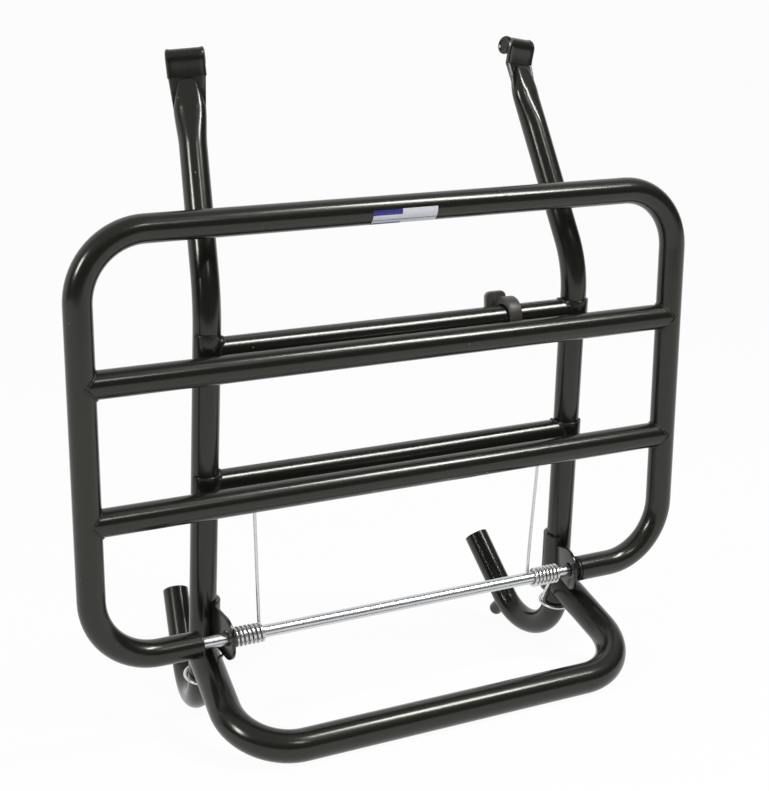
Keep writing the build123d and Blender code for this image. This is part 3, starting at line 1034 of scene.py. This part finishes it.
def bentPath(stops, steps):  # a smooth run through places with their ways
    path = []
    for (place, way), (nextPlace, nextWay) in zip(stops, stops[1:]):
        for index in range(steps):
            t = index / steps
            path.append(
                place * (2 * t**3 - 3 * t**2 + 1) + way * (t**3 - 2 * t**2 + t)
                + nextPlace * (3 * t**2 - 2 * t**3) + nextWay * (t**3 - t**2)
            )
    return path


def springRing(side, look):  # the ring round the foot of the post
    out, back, up = look["ringCentre"]
    middle = Vector((postShape["frameX"] + side * out, hinge.y + back, hinge.z + up))
    across, behind, above = look["ringWay"]
    way = Vector((-side * across, behind, above)).normalized()
    inward = squareTo(way, Vector((-side, 0, 0)))
    beside = way.cross(inward)
    ring = []
    for index in range(look["ringSteps"] + 1):
        turn = -radians(look["ringSweep"]) * index / look["ringSteps"]
        ring.append(middle + (inward * cos(turn) + beside * sin(turn)) * look["ringRadius"])
    return ring


def makeSpring(name, node, side, look):
    innerX = look["outerX"][side] - side * look["pitch"] * look["turns"]
    coil = []
    for index in range(look["turns"] * look["stepsPerTurn"] + 1):
        turn = tau * index / look["stepsPerTurn"]
        x = innerX + side * look["pitch"] * turn / tau
        back, down = look["coilRadius"] * cos(turn), look["coilRadius"] * sin(turn)
        coil.append(Vector((x, hinge.y + back, hinge.z - down)))
    lift, back, up = look["legTop"]
    legTop = Vector((innerX + side * lift, hinge.y + back, hinge.z + up))
    legStops = [(legTop, coil[0] - legTop), (coil[0], Vector((0, 0, -look["legPull"])))]
    leg = bentPath(legStops, look["legSteps"])
    ring = springRing(side, look)
    kneeIn, kneeFront, kneeUp = look["knees"][side]
    knee = ring[0] + Vector((side * kneeIn, kneeFront, kneeUp))
    dropStops = [
        (coil[-1], Vector((0, 0, -look["dropPull"]))),
        (knee, (ring[0] - coil[-1]) * look["kneePull"]),
        (ring[0], (ring[1] - ring[0]).normalized() * look["ringPull"]),
    ]
    drop = bentPath(dropStops, look["dropSteps"])
    wirePath = leg + coil[:-1] + drop + ring
    mesh = makeWire(name, [(wirePath, False)], look, finishes["bright_wire"])
    spring = placePiece(name, mesh, None, "bright_wire", node)
    end = Vector((mixed(coil[-1].x, coil[0].x, look["twistShare"]), hinge.y, hinge.z))
    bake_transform(spring)


makeSpring("rightSpring", "right_spring", 1, springShape)
makeSpring("leftSpring", "left_spring", -1, springShape)
print("springs made")

weldBead = {"radius": 0.0009, "ripple": 0.0002, "ripplePitch": 0.0023, "sides": 10, "steps": 96}
flapShape = {"lean": 4.0, "half": 0.2156, "tube": 0.009, "bars": (0.1811, 0.0932)}


def seam(bar, barRadius, tube, tubeWay, tubeRadius, side):  # where a bar along X meets a tube
    points = []
    flatX = Vector((1, 0, 0)) - tubeWay * tubeWay.x
    a = 1 - tubeWay.x**2  # terms of the quadratic for the way along X
    for turn in circleTurns(weldBead["steps"]):
        edge = Vector((0, barRadius * cos(turn), barRadius * sin(turn))) + bar
        rest = edge - tube
        flatRest = rest - tubeWay * rest.dot(tubeWay)
        b = flatRest.dot(flatX)
        c = flatRest.length_squared - tubeRadius**2
        root = sqrt(max(b * b - a * c, 0.0))
        points.append(edge + Vector(((-b - side * root) / a, 0, 0)))
    return points


def makeWelds(look, flap, bars):
    lean = radians(flap["lean"])
    up = Vector((0, -sin(lean), cos(lean)))
    paths = {"flap": [], "frame": []}
    for height in flap["bars"]:
        bar = Vector((0, hinge.y, hinge.z)) + up * height
        for side in (-1, 1):
            tube = Vector((side * flap["half"], bar.y, bar.z))
            points = seam(bar, flap["tube"], tube, up, flap["tube"], side)
            paths["flap"].append((points, True))
    for height in bars["heights"].values():
        for side in (-1, 1):
            post, way = postLine(side, height)
            bar = Vector((0, post.y, post.z))
            points = seam(bar, bars["bar"], post, way, bars["saddle"], side)
            paths["frame"].append((points, True))
    for body, found in paths.items():
        name = body + "Welds"
        mesh = makeWire(name, found, look, finishes["black_paint"])
        placePiece(name, mesh, body, "black_paint")


makeWelds(weldBead, flapShape, frameBars)
print("welds made")

studio = {  # metres, watts; lamps are placed from the middle of the rack
    "paperHalf": 4.0,
    "paperFront": -1.25,
    "paperBack": 1.5,
    "sweepRadius": 0.8,
    "sweepSteps": 24,
    "paperTop": 3.4,
    "paperSmooth": 30,
    "paperColour": (0.86, 0.86, 0.86, 1),
    "paperWhite": 0.95,  # how much of the seen paper is plain white, the rest keeps the shadow
    "white": (1, 1, 1, 1),
    "roomLow": 0.09,
    "roomHigh": 0.45,
    "roomClimb": (0.25, 0.75),
    "backdrop": 1.0,
    "backdropClimb": (0.1, 0.5),
    "middle": Vector((0.0, -0.03, 0.2)),
    "lamps": {
        "rightStrip": {
            "way": (0.471, -0.47, 0.746), "reach": 1.63, "size": (0.18, 0.54), "power": 14.0,
        },
        "leftBox": {
            "way": (-0.836, -0.29, 0.465), "reach": 2.12, "size": (0.36, 0.58), "power": 18.5,
        },
        "frontBox": {
            "way": (0.177, -0.769, 0.613), "reach": 2.6, "size": (0.26, 0.26), "power": 5.0,
        },
    },
}


def makeLamp(name, look, middle):
    lamp = bpy.data.lights.new(name, "AREA")
    lamp.shape = "RECTANGLE"
    lamp.size, lamp.size_y = look["size"]
    lamp.energy = look["power"]
    lampObject = linked(name, lamp)
    way = Vector(look["way"]).normalized()
    lampObject.location = middle + way * look["reach"]
    lampObject.rotation_euler = (-way).to_track_quat("-Z", "Y").to_euler()
    lampObject.visible_camera = False


def makePaper(look):
    bend, back = look["sweepRadius"], look["paperBack"]
    line = [(look["paperFront"], 0.0)]
    for index in range(look["sweepSteps"] + 1):  # the paper curves up behind the rack
        turn = radians(90 * index / look["sweepSteps"])
        line.append((back + bend * sin(turn), bend * (1 - cos(turn))))
    line.append((back + bend, look["paperTop"]))
    corners, faces = [], []
    for y, z in line:
        corners += [(-look["paperHalf"], y, z), (look["paperHalf"], y, z)]
    for index in range(len(line) - 1):
        faces.append((2 * index, 2 * index + 1, 2 * index + 3, 2 * index + 2))
    mesh = bpy.data.meshes.new("floor")
    mesh.from_pydata(corners, [], faces)
    smoothMesh(mesh, look["paperSmooth"])
    floor = linked("floor", mesh)
    material, sheet = newMaterial("floorPaper")
    path = sheet.add("ShaderNodeLightPath")
    seen = path["Is Camera Ray"] + path["Is Glossy Ray"] + path["Is Transmission Ray"]
    lit = sheet.add("ShaderNodeBsdfDiffuse", None, {"Color": look["paperColour"]})
    glowInputs = {"Color": look["white"], "Strength": 1.0}
    glow = sheet.add("ShaderNodeEmission", None, glowInputs)
    blendInputs = {0: look["paperWhite"] * seen, 1: lit["BSDF"], 2: glow["Emission"]}
    blend = sheet.add("ShaderNodeMixShader", None, blendInputs)
    sheet.add("ShaderNodeOutputMaterial", None, {"Surface": blend["Shader"]})
    mesh.materials.append(material)


def makeWorld(look):  # a white backdrop behind the rack, a dim room on the other sides
    world = bpy.data.worlds.new("studio")
    world.use_nodes = True
    scene.world = world
    sheet = Sheet(world.node_tree)
    way = sheet.add("ShaderNodeTexCoord")["Generated"]
    part = sheet.add("ShaderNodeSeparateXYZ", None, {"Vector": way})
    behind = sheet.climb(part["Y"], *look["backdropClimb"], "SMOOTHSTEP")
    above = sheet.climb(part["Z"], *look["roomClimb"], "SMOOTHSTEP")
    room = look["roomLow"] + (look["roomHigh"] - look["roomLow"]) * above
    level = room + (look["backdrop"] - room) * behind
    path = sheet.add("ShaderNodeLightPath")
    seen = path["Is Camera Ray"] + path["Is Transmission Ray"]
    skyInputs = {"Color": look["white"], "Strength": level + (1 - level) * seen}
    sky = sheet.add("ShaderNodeBackground", None, skyInputs)
    sheet.add("ShaderNodeOutputWorld", None, {"Surface": sky["Background"]})


makePaper(studio)
makeWorld(studio)
for name, lampLook in studio["lamps"].items():
    makeLamp(name, lampLook, studio["middle"])
print("studio made")
